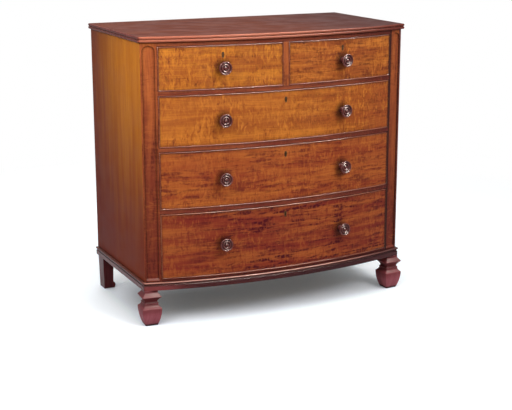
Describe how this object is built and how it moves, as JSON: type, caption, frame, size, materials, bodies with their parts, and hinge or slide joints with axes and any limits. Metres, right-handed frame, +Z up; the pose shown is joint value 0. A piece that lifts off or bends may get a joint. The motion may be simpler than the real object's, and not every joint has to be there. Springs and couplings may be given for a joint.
{
  "type": "chest of drawers",
  "caption": "Bow front chest of drawers in mahogany with short drawers over long ones, cockbeaded curved fronts, turned knobs, sunk stile panels and square baluster feet.",
  "frame": {"origin": "on the floor, midway across the chest and midway between its back and the faces of its knobs", "axes": "+Z up, the bowed drawer fronts face -Y, +X to the right as seen from the front"},
  "size_m": [1.097, 0.6294, 1.05],
  "materials": {
    "top_mahogany": "polished mahogany, dulled",
    "side_mahogany": "polished mahogany, upright grain",
    "frame_mahogany": "polished mahogany",
    "drawer_veneer": "french polished figured mahogany veneer",
    "turned_mahogany": "polished mahogany",
    "pine": "unfinished softwood",
    "brass": "worn"
  },
  "bodies": {
    "carcase": {"top_board": "top_mahogany", "side_left": "side_mahogany", "side_right": "side_mahogany", "stile_left": "frame_mahogany", "stile_right": "frame_mahogany", "frieze_rail": "frame_mahogany", "drawer_rails": "frame_mahogany", "base_rail": "frame_mahogany", "muntin": "frame_mahogany", "partition": "pine", "bottom_board": "pine", "dustboards": "pine", "drawer_runners": "pine", "back_boards": "pine", "base_moulding": "frame_mahogany", "front_feet": "frame_mahogany", "rear_feet": "frame_mahogany", "drawer_stops": "pine"},
    "drawer_short_left": {"drawer_short_left_front": "drawer_veneer", "drawer_short_left_beads_and_knobs": "turned_mahogany", "drawer_short_left_sides": "pine", "drawer_short_left_back": "pine", "drawer_short_left_bottom": "pine", "drawer_short_left_lock": "brass"},
    "drawer_short_left_bolt": {"drawer_short_left_bolt": "brass"},
    "drawer_short_right": {"drawer_short_right_front": "drawer_veneer", "drawer_short_right_beads_and_knobs": "turned_mahogany", "drawer_short_right_sides": "pine", "drawer_short_right_back": "pine", "drawer_short_right_bottom": "pine", "drawer_short_right_lock": "brass"},
    "drawer_short_right_bolt": {"drawer_short_right_bolt": "brass"},
    "drawer_upper": {"drawer_upper_front": "drawer_veneer", "drawer_upper_beads_and_knobs": "turned_mahogany", "drawer_upper_sides": "pine", "drawer_upper_back": "pine", "drawer_upper_bottom": "pine", "drawer_upper_lock": "brass"},
    "drawer_upper_bolt": {"drawer_upper_bolt": "brass"},
    "drawer_middle": {"drawer_middle_front": "drawer_veneer", "drawer_middle_beads_and_knobs": "turned_mahogany", "drawer_middle_sides": "pine", "drawer_middle_back": "pine", "drawer_middle_bottom": "pine", "drawer_middle_lock": "brass"},
    "drawer_middle_bolt": {"drawer_middle_bolt": "brass"},
    "drawer_lower": {"drawer_lower_front": "drawer_veneer", "drawer_lower_beads_and_knobs": "turned_mahogany", "drawer_lower_sides": "pine", "drawer_lower_back": "pine", "drawer_lower_bottom": "pine", "drawer_lower_lock": "brass"},
    "drawer_lower_bolt": {"drawer_lower_bolt": "brass"}
  },
  "joints": [
    {"name": "drawer_short_left_slide", "type": "slide", "parent": "carcase", "child": "drawer_short_left", "axis": [0, -1, 0], "range_m": [0, 0.4]},
    {"name": "drawer_short_left_bolt_throw", "type": "slide", "parent": "drawer_short_left", "child": "drawer_short_left_bolt", "axis": [0, 0, 1], "range_m": [0, 0.009]},
    {"name": "drawer_short_right_slide", "type": "slide", "parent": "carcase", "child": "drawer_short_right", "axis": [0, -1, 0], "range_m": [0, 0.4]},
    {"name": "drawer_short_right_bolt_throw", "type": "slide", "parent": "drawer_short_right", "child": "drawer_short_right_bolt", "axis": [0, 0, 1], "range_m": [0, 0.009]},
    {"name": "drawer_upper_slide", "type": "slide", "parent": "carcase", "child": "drawer_upper", "axis": [0, -1, 0], "range_m": [0, 0.4]},
    {"name": "drawer_upper_bolt_throw", "type": "slide", "parent": "drawer_upper", "child": "drawer_upper_bolt", "axis": [0, 0, 1], "range_m": [0, 0.009]},
    {"name": "drawer_middle_slide", "type": "slide", "parent": "carcase", "child": "drawer_middle", "axis": [0, -1, 0], "range_m": [0, 0.4]},
    {"name": "drawer_middle_bolt_throw", "type": "slide", "parent": "drawer_middle", "child": "drawer_middle_bolt", "axis": [0, 0, 1], "range_m": [0, 0.009]},
    {"name": "drawer_lower_slide", "type": "slide", "parent": "carcase", "child": "drawer_lower", "axis": [0, -1, 0], "range_m": [0, 0.4]},
    {"name": "drawer_lower_bolt_throw", "type": "slide", "parent": "drawer_lower", "child": "drawer_lower_bolt", "axis": [0, 0, 1], "range_m": [0, 0.009]}
  ]
}
